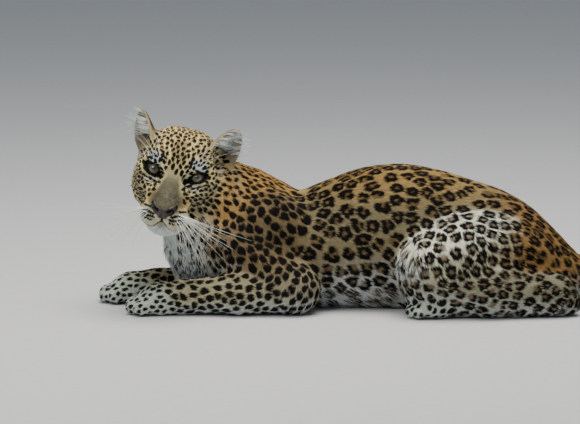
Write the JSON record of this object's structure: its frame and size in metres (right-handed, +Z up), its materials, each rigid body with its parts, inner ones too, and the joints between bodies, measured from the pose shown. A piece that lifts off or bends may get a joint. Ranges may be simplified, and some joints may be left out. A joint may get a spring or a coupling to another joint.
{
  "type": "leopard model",
  "caption": "Life-size still leopard lying on its belly, head raised and turned to its left, forepaws forward, hind legs folded, tail curved round on the ground.",
  "frame": {"origin": "on the ground under the front of the trunk, between the elbows, on the belly's flat underside", "axes": "+X towards the rump, along the trunk; +Y towards the animal's right side; +Z up"},
  "size_m": [1.0055, 0.4872, 0.3437],
  "materials": {
    "coat": "short spotted fur",
    "eye": "glossy",
    "nose": "damp skin"
  },
  "bodies": {
    "root": {"head": "coat", "neck": "coat", "torso": "coat", "foreleg_left": "coat", "foreleg_right": "coat", "forepaw_left": "coat", "forepaw_right": "coat", "hindleg_left": "coat", "hindleg_right": "coat", "tail_root": "coat", "tail_bend": "coat", "tail_side": "coat", "tail_middle": "coat", "tail_tip": "coat", "ear_left": "coat", "ear_right": "coat", "eye_left": "eye", "eye_right": "eye", "nose": "nose"}
  },
  "joints": []
}
